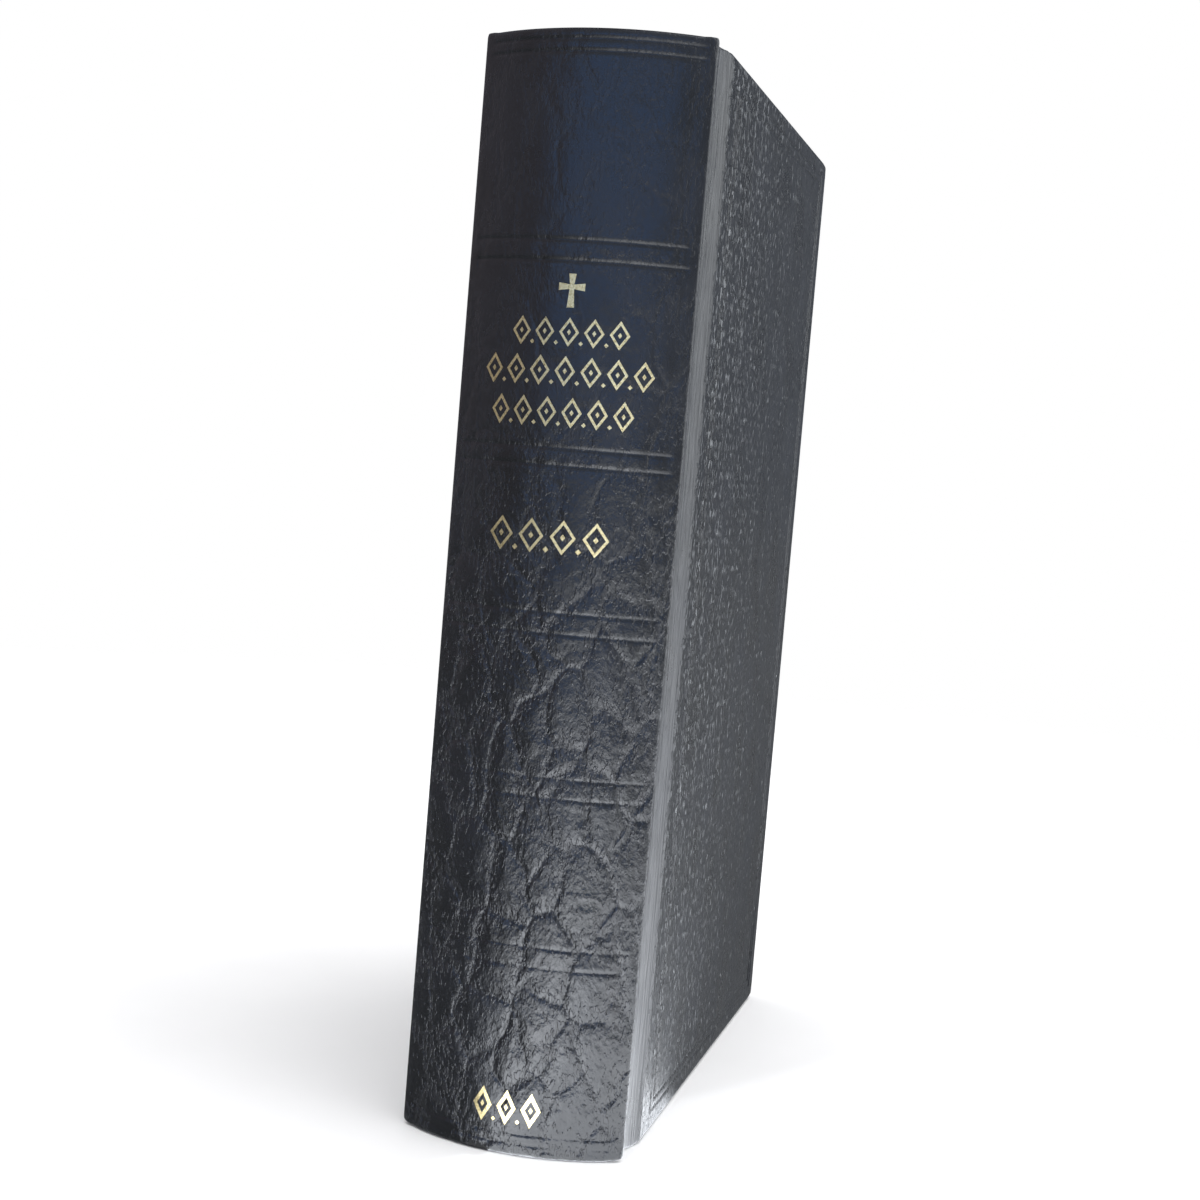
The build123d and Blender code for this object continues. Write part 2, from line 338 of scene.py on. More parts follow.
def spine_point(s, z, lift):
    """A point on the spine's surface, lifted off it, in millimetres."""
    x, y = (np.interp(s, SPINE_S, SPINE_ROWS[:, i]) for i in (0, 1))
    n = np.array([np.interp(s, SPINE_S, SPINE_NORMALS[:, i]) for i in (0, 1)])
    n = n / np.linalg.norm(n)
    out = spine_relief(s, z) + lift
    return x + n[0] * out, y + n[1] * out, z


def spine_section():
    """The spine leather's closed section: depth below the surface and height, with both turn-ins."""
    full = LEATHER + INLAY + TURN_IN
    roll = full / 2
    outer = [(0.0, z) for z in refined(roll, HEIGHT - roll, SPINE_STEP, SPINE_RULES, SPINE_SPREAD)]
    half_turns = np.linspace(0, math.pi, 9)[1:-1]
    head = [(roll - roll * math.cos(a), HEIGHT - roll + roll * math.sin(a)) for a in half_turns]
    pocket = LEATHER + 0.04
    inner = [(full, HEIGHT - roll), (full, HEIGHT - TURN_IN_WIDTH)]
    inner += [(LEATHER + INLAY, HEIGHT - TURN_IN_WIDTH), (LEATHER + INLAY, HEIGHT - pocket)]
    inner += [(LEATHER, z) for z in np.linspace(HEIGHT - pocket, HEIGHT / 2, 7)]
    tail_inner = [(d, HEIGHT - z) for d, z in inner[:-1]][::-1]
    tail = [(d, HEIGHT - z) for d, z in head][::-1]
    return outer + head + inner + tail_inner + tail


def spine_skin():
    """Spine leather with its half of both grooves, rolled over at head and tail."""
    section = spine_section()
    full = LEATHER + INLAY + TURN_IN
    stop = COVER_X - INLAY_STOP
    points, grain = [], []
    for row, normal, s in zip(SPINE_ROWS, SPINE_NORMALS, SPINE_S):
        thin = 1 - 0.62 * float(smooth(stop, stop + 0.9, abs(row[0])))
        if abs(s) > RIDGE_S:
            thin = 0.38
        drop = TAIL_DROP * float(smooth(RIDGE_S - 3.5, RIDGE_S + 1.5, abs(s)))
        for depth, z in section:
            out = -depth * thin
            if depth < full / 2:
                out += spine_relief(s, z) * (1 - 2 * depth / full)
            z += drop * max(0.0, 1 - z / TAIL_DROP_HEIGHT)
            points.append((row[0] + normal[0] * out, row[1] + normal[1] * out, z))
            grain.append((s, z, depth))
    obj = piece("spine_skin", points, tube_faces(len(SPINE_S), len(section)), grain)
    return outward(obj)


# ------------ covers

def cover_columns():
    """The cover's outside from the groove's bottom to the fore-edge, as rows of x, y."""
    edge = corner_arc(VALLEY, SLOPE_END, SLOPE_END + [0, 1], JOINT_EDGE_RADIUS, 6)
    joint = [row[:2] for row in VALLEY_ARC[3:]]
    first, last = np.array(joint[-1]), np.array(edge[0][:2])
    for t in np.linspace(0, 1, 14)[1:-1]:
        joint.append(tuple(first + (last - first) * [t**JOINT_HOLLOW, t]))
    joint += [row[:2] for row in edge]
    lines = [BOARD_Y + back for back, _, _ in COVER_FRAMES] + [FORE_Y - fore for _, _, fore in COVER_FRAMES]
    flat = refined(joint[-1][1], FORE_Y - EDGE_RADIUS, COVER_STEP_Y, lines, COVER_SPREAD)[1:]
    rows = joint + [(COVER_X, y) for y in flat]
    rows += [(COVER_X, FORE_Y - EDGE_RADIUS * (1 - share)) for share in (0.25, 0.5, 0.75, 1)]
    return np.array(rows)


def frame_relief(y, z):
    """Depth of the blind-tooled frame lines on a cover."""
    total = 0.0
    for back, ends, fore in COVER_FRAMES:
        y0, y1, z0, z1 = BOARD_Y + back, FORE_Y - fore, ends, HEIGHT - ends
        off = max(abs(y - (y0 + y1) / 2) - (y1 - y0) / 2, abs(z - (z0 + z1) / 2) - (z1 - z0) / 2)
        total += math.exp(-((off / FRAME_HALF_WIDTH) ** 2))
    return FRAME_DEPTH * min(1, total)


def cover_skin(side, sign):
    """A cover's leather: its half of the groove, its face, three rolled edges and the turn-ins."""
    columns = cover_columns()
    lines = [end for _, end, _ in COVER_FRAMES] + [HEIGHT - end for _, end, _ in COVER_FRAMES]
    ends = [EDGE_RADIUS * share for share in (0, 0.25, 0.5, 0.75)]
    window = [TURN_IN_WIDTH, HEIGHT - TURN_IN_WIDTH]
    middle = refined(EDGE_RADIUS, HEIGHT - EDGE_RADIUS, COVER_STEP_Z, lines, COVER_SPREAD)
    middle = [z for z in middle if min(abs(z - w) for w in window) > 0.8] + window
    rows = np.array(ends + sorted(middle) + [HEIGHT - z for z in reversed(ends)])
    thickness = COVER_X - TURN_IN_X
    nx, ny, nz = len(COVER_LAYERS), len(columns), len(rows)
    index, points, grain = {}, [], []

    def place(i, j, k):
        """The corner of the lattice at column i, row j and layer k, with all edges rounded."""
        if (i, j, k) in index:
            return index[i, j, k]
        x_out, y = columns[i]
        z = rows[j]
        board = float(smooth(BOARD_Y - 0.9, BOARD_Y - 0.1, y))
        total = (LEATHER + TURN_IN) * (1 - board) + thickness * board
        radius = min(EDGE_RADIUS, total / 2 - 0.01)
        depth = total * COVER_LAYERS[k]
        core = np.array([min(max(depth, radius), total - radius), min(y, FORE_Y - radius),
                         min(max(z, radius), HEIGHT - radius)])
        away = np.array([depth, y, z]) - core
        length = np.linalg.norm(away)
        depth, y2, z2 = core + (away * radius / length if length > 1e-9 else 0)
        a, b = y2 - (FORE_Y - PLAN_RADIUS), abs(z2 - HEIGHT / 2) - (HEIGHT / 2 - PLAN_RADIUS)
        if a > 0 and b > 0:
            scale = max(a, b) / math.hypot(a, b)
            y2 = FORE_Y - PLAN_RADIUS + a * scale
            z2 = HEIGHT / 2 + math.copysign(HEIGHT / 2 - PLAN_RADIUS + b * scale, z2 - HEIGHT / 2)
        if k == 0:
            depth += frame_relief(y, z)
            depth += 0.02 * noise.noise(Vector((y * 0.12, z * 0.08, sign * 5.0)))
        drop = TAIL_DROP * (1 - float(smooth(RIDGE_Y + GROOVE_WALL, RIDGE_Y + 6, y)))
        z2 += drop * max(0.0, 1 - z2 / TAIL_DROP_HEIGHT)
        index[i, j, k] = len(points)
        points.append((sign * (x_out - max(depth, 0.0)), y2, z2))
        grain.append((y + (depth if k else 0), z, sign * depth))
        return index[i, j, k]

    faces = []
    last = nx - 1
    for i in range(ny - 1):
        for j in range(nz - 1):
            faces.append([place(i, j, 0), place(i + 1, j, 0), place(i + 1, j + 1, 0), place(i, j + 1, 0)])
            z = (rows[j] + rows[j + 1]) / 2
            y = (columns[i][1] + columns[i + 1][1]) / 2
            if min(z, HEIGHT - z) < TURN_IN_WIDTH or FORE_Y - y < TURN_IN_WIDTH:
                faces.append([place(i, j, last), place(i, j + 1, last),
                              place(i + 1, j + 1, last), place(i + 1, j, last)])
    for k in range(nx - 1):
        for i in range(ny - 1):
            faces.append([place(i, 0, k), place(i, 0, k + 1), place(i + 1, 0, k + 1), place(i + 1, 0, k)])
            faces.append([place(i, nz - 1, k), place(i + 1, nz - 1, k),
                          place(i + 1, nz - 1, k + 1), place(i, nz - 1, k + 1)])
        for j in range(nz - 1):
            faces.append([place(ny - 1, j, k), place(ny - 1, j, k + 1),
                          place(ny - 1, j + 1, k + 1), place(ny - 1, j + 1, k)])
    if sign < 0:
        faces = [face[::-1] for face in faces]
    obj = piece(f"{side}_cover_skin", points, faces, grain)
    thicken = obj.modifiers.new("thickness", "SOLIDIFY")
    thicken.thickness = TURN_IN * MM
    thicken.offset = -1
    apply_modifiers(obj)
    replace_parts(obj, f"{side}_cover_leather")
    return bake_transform(obj)


def apply_modifiers(obj):
    """Makes the modifiers' result the object's own mesh."""
    graph = bpy.context.evaluated_depsgraph_get()
    obj.data = bpy.data.meshes.new_from_object(obj.evaluated_get(graph))
    obj.modifiers.clear()


# ------------ paper

def strip(name, path, thickness, z_stations):
    """A thin sheet that follows a path seen from above."""
    path = np.array(path)
    along = np.gradient(path, axis=0)
    along /= np.linalg.norm(along, axis=1)[:, None]
    normals = np.stack([along[:, 1], -along[:, 0]], 1)
    run = np.concatenate([[0], np.cumsum(np.linalg.norm(np.diff(path, axis=0), axis=1))])
    rings, grain = [], []
    for z in z_stations:
        outer = [(*(p + n * (thickness / 2)), z) for p, n in zip(path, normals)]
        inner = [(*(p + n * (-thickness / 2)), z) for p, n in zip(path, normals)]
        rings.append(outer + inner[::-1])
        grain.append([(r, z, 0) for r in run] + [(r, z, thickness) for r in run[::-1]])
    points = np.array(rings).reshape(-1, 3)
    return piece(name, points, tube_faces(len(rings), 2 * len(path)), np.array(grain).reshape(-1, 3))


def mirrored_x(path, sign):
    """The path itself for the front, and its mirror image for the back."""
    return [(sign * x, y) for x, y in path]


def endsheet(side, sign):
    """Pastedown, and the strip that joins it to the flyleaf in the joint."""
    x = (PASTEDOWN_LOW.x + PASTEDOWN_HIGH.x) / 2
    thickness = PASTEDOWN_HIGH.x - PASTEDOWN_LOW.x
    path = [(px, RIDGE_Y + v) for px, v in ENDSHEET_PATH]
    path += [(x, y) for y in np.linspace(RIDGE_Y + 8.3, PASTEDOWN_HIGH.y, 24)]
    obj = strip(f"{side}_endsheet", mirrored_x(path, sign), thickness,
                np.linspace(PASTEDOWN_LOW.z, PASTEDOWN_HIGH.z, 40))
    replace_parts(outward(obj), f"{side}_pastedown")
    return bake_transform(obj)


def flyleaf(side, sign):
    """Free endpaper: a flat strip with closer stations near the gutter."""
    x = (FLYLEAF_LOW.x + FLYLEAF_HIGH.x) / 2
    thickness = FLYLEAF_HIGH.x - FLYLEAF_LOW.x
    root_y = HINGES[f"{side}_flyleaf"]["pos_m"][1] / MM
    near = list(np.linspace(root_y, root_y + 11, 16))
    path = [(x, y) for y in near + list(np.linspace(root_y + 14, FLYLEAF_HIGH.y, 22))]
    obj = strip(f"{side}_free_leaf", mirrored_x(path, sign), thickness,
                np.linspace(FLYLEAF_LOW.z, FLYLEAF_HIGH.z, 30))
    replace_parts(outward(obj), f"{side}_flyleaf")
    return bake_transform(obj)


def page_stack(number):
    """One gathering's leaves: a stack that thins towards its fold, with uneven leaf edges."""
    low, high = (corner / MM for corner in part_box(f"gathering_{number:02d}"))
    middle, half = (low.x + high.x) / 2, (high.x - low.x) / 2
    joint = HINGES[f"gathering_{number:02d}"]
    root_y = joint["pos_m"][1] / MM
    open_angle = math.radians(joint["range_deg"][1])
    neck = max(NECK_MIN, 2 * half * math.cos(open_angle) - NECK_GAP) / 2
    draws = np.random.default_rng(number).uniform(-1, 1, (STACK_LEAVES, 3))
    ys = [FOLD_Y + 0.1, root_y + 0.2, root_y + 2, root_y + 4, root_y + 6, root_y + 8.5]
    ys += list(np.linspace(root_y + 14, high.y, 14))
    zs = np.linspace(low.z, high.z, 20)
    points, grain, index = [], [], {}

    def place(i, j, k):
        """Lattice corner at leaf i, station j along the depth and row k up the height."""
        if (i, j, k) in index:
            return index[i, j, k]
        y, z = ys[j], zs[k]
        width = neck + (half - neck) * min(1, max(0, (y - root_y - 0.2) / NECK_LENGTH))
        x = middle + width * (2 * i / (STACK_LEAVES - 1) - 1)
        ragged = draws[i]
        if j == len(ys) - 1:
            y += RAGGED_FORE_EDGE * ragged[0] - RAGGED_FORE_EDGE
        if k in (0, len(zs) - 1):
            z += (RAGGED_ENDS * ragged[1] + RAGGED_ENDS) * (1 if k == 0 else -1)
        index[i, j, k] = len(points)
        points.append((x, y, z))
        grain.append((x, y, z))
        return index[i, j, k]

    ni, nj, nk = STACK_LEAVES, len(ys), len(zs)
    faces = []
    for j in range(nj - 1):
        for k in range(nk - 1):
            faces.append([place(0, j, k), place(0, j, k + 1), place(0, j + 1, k + 1), place(0, j + 1, k)])
            faces.append([place(ni - 1, j, k), place(ni - 1, j + 1, k),
                          place(ni - 1, j + 1, k + 1), place(ni - 1, j, k + 1)])
    for i in range(ni - 1):
        for k in range(nk - 1):
            faces.append([place(i, 0, k), place(i + 1, 0, k), place(i + 1, 0, k + 1), place(i, 0, k + 1)])
            faces.append([place(i, nj - 1, k), place(i, nj - 1, k + 1),
                          place(i + 1, nj - 1, k + 1), place(i + 1, nj - 1, k)])
        for j in range(nj - 1):
            faces.append([place(i, j, 0), place(i, j + 1, 0), place(i + 1, j + 1, 0), place(i + 1, j, 0)])
            faces.append([place(i, j, nk - 1), place(i + 1, j, nk - 1),
                          place(i + 1, j + 1, nk - 1), place(i, j + 1, nk - 1)])
    obj = outward(piece(f"leaves_{number:02d}", points, faces, grain, sharp=15))
    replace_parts(obj, f"gathering_{number:02d}")
    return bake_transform(obj)


# ------------ headbands

def round_the_spine(radius, angle, z):
    """A point at a radius and angle from the spine's centre of curvature."""
    return radius * math.sin(angle), SPINE_CENTRE_Y - radius * math.cos(angle), z


def end_band(name, node, head):
    """A headband: thread wound over a core, on a cloth skirt."""
    low, high = (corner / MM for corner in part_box(node))
    z = high.z - BEAD_RADIUS if head else low.z + BEAD_RADIUS
    depth = BEAD_DEPTH + BEAD_RADIUS
    arc_radius = SPINE_RADIUS - depth
    last = math.asin(min(1, BEAD_HALF_WIDTH / arc_radius))
    points, grain = [], []
    rings = BEAD_TURNS * RINGS_PER_TURN + 1
    for i in range(rings):
        share = i / (rings - 1)
        angle = last * (2 * share - 1) * BEAD_SPAN
        lump = 0.90 + 0.10 * abs(math.sin(math.pi * BEAD_TURNS * share))
        closing = math.sqrt(max(0.12, 1 - (2 * abs(share - 0.5)) ** 40))
        r = BEAD_RADIUS * lump * closing
        for j in range(BEAD_AROUND):
            turn = 2 * math.pi * j / BEAD_AROUND
            points.append(round_the_spine(arc_radius + r * math.cos(turn), angle, z + r * math.sin(turn)))
            grain.append((share * BEAD_TURNS, turn, 0))
    faces = tube_faces(rings, BEAD_AROUND)
    near = depth + 0.35
    far = near + SKIRT_THICKNESS
    z0, z1 = (low.z, z) if head else (z, high.z)
    start = len(points)
    for i in range(SKIRT_COLUMNS):
        angle = last * (2 * i / (SKIRT_COLUMNS - 1) - 1) * SKIRT_SPAN
        for d, zz in ((near, z0), (near, z1), (far, z1), (far, z0)):
            points.append(round_the_spine(SPINE_RADIUS - d, angle, zz))
            grain.append((i * BEAD_TURNS / SKIRT_COLUMNS, zz * 3, 1))
    faces += [tuple(start + v for v in face) for face in tube_faces(SKIRT_COLUMNS, 4)]
    obj = outward(piece(name, points, faces, grain, sharp=60))
    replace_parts(obj, node)
    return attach(obj, "root")


# ------------ gold ornament

def foil(name, patches):
    """Gold leaf on the spine: patches given by four corners in arc length and height."""
    points, faces, grain = [], [], []
    for corners in patches:
        a, b, c, d = (np.array(corner, float) for corner in corners)
        nu = max(2, math.ceil(max(np.linalg.norm(b - a), np.linalg.norm(c - d)) / FOIL_STEP) + 1)
        nv = max(2, math.ceil(max(np.linalg.norm(d - a), np.linalg.norm(c - b)) / FOIL_STEP) + 1)
        for layer in (FOIL, FOIL_UNDER):
            base = len(points)
            for u in np.linspace(0, 1, nu):
                for v in np.linspace(0, 1, nv):
                    s, z = (1 - u) * (1 - v) * a + u * (1 - v) * b + u * v * c + (1 - u) * v * d
                    points.append(spine_point(s, z, layer))
                    grain.append((s, z, 0))
            for i in range(nu - 1):
                for j in range(nv - 1):
                    q = base + i * nv + j
                    face = [q, q + nv, q + nv + 1, q + 1]
                    faces.append(face if layer > 0 else face[::-1])
        rim = [i * nv for i in range(nu)] + [(nu - 1) * nv + j for j in range(1, nv)]
        rim += [i * nv + nv - 1 for i in range(nu - 2, -1, -1)] + list(range(nv - 2, 0, -1))
        top, bottom = base - nu * nv, base
        for m, start in enumerate(rim):
            end = rim[(m + 1) % len(rim)]
            faces.append([top + start, bottom + start, bottom + end, top + end])
    obj = outward(piece(name, points, faces, grain, sharp=50))
    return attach(obj, "root")


def bar(s0, s1, z0, z1):
    return [(s0, z0), (s1, z0), (s1, z1), (s0, z1)]


def lozenge(s, z, half_width, half_height):
    return [(s - half_width, z), (s, z - half_height), (s + half_width, z), (s, z + half_height)]


def open_lozenge(s, z, half_width, half_height, share):
    """A lozenge's outline as four strokes, and a seed in the middle of it."""
    outer = lozenge(s, z, half_width, half_height)
    inner = lozenge(s, z, half_width * share, half_height * share)
    strokes = []
    for i in range(4):
        k = (i + 1) % 4
        strokes.append([outer[i], outer[k], inner[k], inner[i]])
    return strokes + [lozenge(s, z, half_width * SEED_SHARE, half_height * SEED_SHARE)]


def cross(s, z0, z1, arm_z, arm, stem, flare):
    """A plain cross whose four arms widen a little towards their ends."""
    h, w = stem / 2, stem / 2 + flare
    middle = bar(s - h, s + h, arm_z - h, arm_z + h)
    up = [(s - h, arm_z + h), (s + h, arm_z + h), (s + w, z1), (s - w, z1)]
    down = [(s - w, z0), (s + w, z0), (s + h, arm_z - h), (s - h, arm_z - h)]
    right = [(s + h, arm_z - h), (s + arm, arm_z - w), (s + arm, arm_z + w), (s + h, arm_z + h)]
    left = [(s - arm, arm_z - w), (s - h, arm_z - h), (s - h, arm_z + h), (s - arm, arm_z + w)]
    return [middle, up, down, right, left]


def lozenge_row(count, s0, s1, z, half_height, share):
    """Open lozenges side by side from s0 to s1, with a dot between each pair."""
    pitch = (s1 - s0) / count
    marks = []
    for i in range(count):
        marks += open_lozenge(s0 + pitch * (i + 0.5), z, pitch * LOZENGE_SHARE, half_height, share)
    for i in range(1, count):
        dot = pitch * DOT_SHARE
        marks.append(lozenge(s0 + pitch * i, z - half_height * DOT_DROP, dot, dot))
    return marks


def ornaments():
    """The cross, and a piece for each group of lozenge rows."""
    marks = [foil("gold_cross", cross(**CROSS))]
    for name, rows in GOLD_ROWS.items():
        marks.append(foil(name, [patch for row in rows for patch in lozenge_row(*row)]))
    return marks


# ------------ materials

def new_material(name):
    material = bpy.data.materials.new(name)
    material.use_nodes = True
    tree = material.node_tree
    return material, tree, tree.nodes["Principled BSDF"]


def add(tree, kind, inputs=None, **properties):
    """A node with its properties and inputs set; an input given a socket is linked to it."""
    node = tree.nodes.new("ShaderNode" + kind)
    for key, value in properties.items():
        setattr(node, key, value)
    for key, value in (inputs or {}).items():
        if isinstance(value, bpy.types.NodeSocket):
            tree.links.new(value, node.inputs[key])
        else:
            node.inputs[key].default_value = value
    return node


def ramp(tree, value, stops):
    """A colour ramp through (position, colour) stops."""
    node = add(tree, "ValToRGB", {"Fac": value})
    elements = node.color_ramp.elements
    while len(elements) < len(stops):
        elements.new(0.5)
    for element, (position, colour) in zip(elements, stops):
        element.position = position
        element.color = (*colour, 1)
    return node.outputs["Color"]


def grain_vector(tree, scale, rotation=(0, 0, 0)):
    """The piece's own grain coordinates, in millimetres, turned and scaled."""
    source = add(tree, "Attribute", attribute_name="grain")
    inputs = {"Vector": source.outputs["Vector"], "Scale": scale, "Rotation": rotation}
    return add(tree, "Mapping", inputs).outputs["Vector"]


def object_vector(tree, scale):
    """Object coordinates of a CAD node, turned into millimetres and scaled."""
    source = add(tree, "TexCoord")
    size = [s / MM for s in scale]
    return add(tree, "Mapping", {"Vector": source.outputs["Object"], "Scale": size}).outputs["Vector"]


def bump(tree, shader, heights):
    """Chains bumps of (height socket, millimetres, strength) into the shader's normal."""
    normal = None
    for height, depth, strength in heights:
        inputs = {"Height": height, "Distance": depth * MM, "Strength": strength}
        if normal is not None:
            inputs["Normal"] = normal
        normal = add(tree, "Bump", inputs).outputs["Normal"]
    tree.links.new(normal, shader.inputs["Normal"])


def set_shader(shader, **values):
    """Plain values for the shader's own sockets."""
    for key, value in values.items():
        shader.inputs[key.replace("_", " ")].default_value = value


def remap(tree, value, low, high, to_low=0.0, to_high=1.0):
    """A smooth step between two values."""
    node = add(tree, "MapRange", {"Value": value, "From Min": low, "From Max": high, "To Min": to_low,
                                  "To Max": to_high}, interpolation_type="SMOOTHSTEP")
    return node.outputs["Result"]


def math_node(tree, operation, a, b):
    return add(tree, "Math", {0: a, 1: b}, operation=operation).outputs["Value"]


def noise_texture(tree, vector, detail, roughness=0.5):
    return add(tree, "TexNoise", {"Vector": vector, "Scale": 1.0, "Detail": detail, "Roughness": roughness})


def noise_node(tree, vector, detail, roughness=0.5):
    return noise_texture(tree, vector, detail, roughness).outputs["Fac"]


def mix_colour(tree, factor, a, b):
    """A mix of two colours, each a socket or three numbers."""
    node = add(tree, "Mix", {"Factor": factor}, data_type="RGBA")
    for index, value in ((6, a), (7, b)):
        if isinstance(value, bpy.types.NodeSocket):
            tree.links.new(value, node.inputs[index])
        else:
            node.inputs[index].default_value = (*value, 1)
    return node.outputs[2]


def finish_surface(tree, shader, colour, value, rough, low=0.0, high=1.0):
    """Links the colour, and a roughness that goes evenly between two values with a texture's."""
    tree.links.new(colour, shader.inputs["Base Color"])
    inputs = {"Value": value, "From Min": low, "From Max": high, "To Min": rough[0], "To Max": rough[1]}
    tree.links.new(add(tree, "MapRange", inputs).outputs["Result"], shader.inputs["Roughness"])


def leather_base(tree, shader, wear_and_highlight, wear_and_highlight_colour, roughness):
    """The navy-black colour with pale specks on raised grain, partly wear and partly painted highlight, and
    an uneven gloss.
    """
    cloud = noise_node(tree, grain_vector(tree, (0.10, 0.06, 0.1), (0, 0, 0.6)), 4.0, 0.6)
    base = ramp(tree, cloud, [(0.3, (0.0060, 0.0066, 0.0076)), (0.7, (0.0095, 0.0110, 0.0150))])
    # Pale specks on the raised grain: partly wear, partly a painted highlight standing in for the grain's
    # glints
    tree.links.new(mix_colour(tree, wear_and_highlight, base, wear_and_highlight_colour), shader.inputs["Base Color"])
    tree.links.new(remap(tree, cloud, 0.3, 0.7, *roughness), shader.inputs["Roughness"])


def spine_leather():
    """Glossy leather, nearly smooth at the head, with diagonal folds and bright pebbles lower down, whose
    paler colour is partly a painted highlight.
    """
    material, tree, shader = new_material("spine_leather_grain")
    height = add(tree, "SeparateXYZ", {"Vector": grain_vector(tree, (1, 1, 1))}).outputs["Y"]
    low = remap(tree, height, 112.0, 50.0, 0.22, 1.0)
    warp = noise_texture(tree, grain_vector(tree, (0.13, 0.13, 0.13)), 1.0)
    bend = add(tree, "VectorMath", {0: warp.outputs["Color"], 3: 0.9}, operation="SCALE").outputs["Vector"]
    start = grain_vector(tree, (0.19, 0.10, 0.12), (0, 0, 0.75))
    bent = add(tree, "VectorMath", {0: start, 1: bend}, operation="ADD").outputs["Vector"]
    cells = add(tree, "TexVoronoi", {"Vector": bent, "Scale": 1.0}, feature="DISTANCE_TO_EDGE")
    cells = cells.outputs["Distance"]
    by_fold = remap(tree, cells, 0.02, 0.30, 0.13, -0.03)
    valley = math_node(tree, "MULTIPLY", remap(tree, cells, 0.0, 0.13), low)
    lips = math_node(tree, "MULTIPLY", remap(tree, cells, 0.0, 0.40), low)
    rough = noise_node(tree, grain_vector(tree, (1.5, 1.0, 1.5), (0, 0, 0.8)), 3.0, 0.6)
    rough = math_node(tree, "MULTIPLY", rough, low)
    streak_place = grain_vector(tree, (1.9, 0.8, 1.5), (0, 0, 0.8))
    dots = noise_node(tree, streak_place, 2.0)
    raised_and_highlight = remap(tree, math_node(tree, "ADD", dots, by_fold), 0.58, 0.68)
    # The lumps along the folds are raised and painted paler: partly wear, partly painted highlight
    lumps_and_highlight = math_node(tree, "MULTIPLY", raised_and_highlight, low)
    pebbles = add(tree, "TexVoronoi", {"Vector": grain_vector(tree, (0.95, 0.75, 1.0)), "Scale": 1.0},
                  feature="SMOOTH_F1").outputs["Distance"]
    leather_base(tree, shader, lumps_and_highlight, (0.019, 0.020, 0.024), (0.22, 0.31))
    set_shader(shader, Specular_IOR_Level=0.5)
    fine = noise_node(tree, grain_vector(tree, (4.5, 3.5, 4.5)), 3.0)
    bump(tree, shader, [(valley, 0.15, 1.0), (lips, 0.17, 1.0), (rough, 0.17, 1.0), (lumps_and_highlight, 0.10, 1.0),
                        (math_node(tree, "MULTIPLY", pebbles, low), 0.09, 1.0), (fine, 0.016, 1.0)])
    return material


def cover_leather():
    """Leather with upright dashes of grain that thin out towards the fore-edge, burnished in the joint; the
    raised dashes are painted pale, partly wear and partly painted highlight.
    """
    material, tree, shader = new_material("cover_leather_grain")
    depth = add(tree, "SeparateXYZ", {"Vector": grain_vector(tree, (1, 1, 1))}).outputs["X"]
    board = remap(tree, depth, BOARD_Y - 0.6, BOARD_Y + 0.6)
    dense = remap(tree, depth, BOARD_Y + 6.0, FORE_Y - 4.0, 0.045, -0.045)
    dashes = noise_node(tree, grain_vector(tree, (2.2, 0.72, 2.2)), 2.0)
    columns = noise_node(tree, grain_vector(tree, (0.75, 0.03, 0.75)), 2.0)
    mixed = math_node(tree, "ADD", math_node(tree, "MULTIPLY", columns, 0.30),
                      math_node(tree, "ADD", dashes, dense))
    raised_and_highlight = math_node(tree, "MULTIPLY", remap(tree, mixed, 0.72, 0.80), board)
    # The raised dashes are painted pale grey: partly wear, partly a painted highlight of their glints
    leather_base(tree, shader, raised_and_highlight, (0.17, 0.18, 0.19), (0.26, 0.33))
    burnish = remap(tree, depth, BOARD_Y - 0.6, BOARD_Y + 0.6, 0.60, 0.22)
    tree.links.new(burnish, shader.inputs["Specular IOR Level"])
    fine = noise_node(tree, grain_vector(tree, (3.5, 2.0, 3.5)), 3.0)
    loose = remap(tree, depth, BOARD_Y - 1.5, BOARD_Y + 3.0, 1.0, 0.25)
    strands = noise_node(tree, grain_vector(tree, (2.6, 0.10, 2.6)), 2.0)
    bump(tree, shader, [(raised_and_highlight, 0.32, 1.0), (math_node(tree, "MULTIPLY", dashes, board), 0.16, 1.0),
                        (math_node(tree, "MULTIPLY", strands, loose), 0.16, 1.0),
                        (fine, 0.012, 1.0)])
    return material


def paper(name, light, dark, line_scale, cad=False):
    """Book paper: fibres, and the lines of the leaves' edges across the thickness."""
    material, tree, shader = new_material(name)
    vector = object_vector if cad else grain_vector
    lines = noise_node(tree, vector(tree, (line_scale, 0.05, 0.05)), 3.0, 0.7)
    fibre = noise_node(tree, vector(tree, (1.3, 1.3, 1.3)), 5.0)
    colour = ramp(tree, math_node(tree, "MULTIPLY", lines, fibre), [(0.12, dark), (0.32, light)])
    finish_surface(tree, shader, colour, fibre, (0.75, 0.95))
    bump(tree, shader, [(lines, 0.05, 0.6), (fibre, 0.01, 0.5)])
    return material


def gold_leaf():
    """Stamped gold foil, pitted and worn where the grain stands out."""
    material, tree, shader = new_material("gold_foil")
    pits = noise_node(tree, grain_vector(tree, (3.0, 3.0, 3.0)), 4.0, 0.7)
    colour = ramp(tree, pits, [(0.30, (0.06, 0.05, 0.03)), (0.40, (0.54, 0.43, 0.21)),
                               (0.6, (0.80, 0.68, 0.38))])
    finish_surface(tree, shader, colour, pits, (0.5, 0.3), 0.3, 0.7)
    set_shader(shader, Metallic=1.0)
    bump(tree, shader, [(pits, 0.03, 0.8)])
    return material


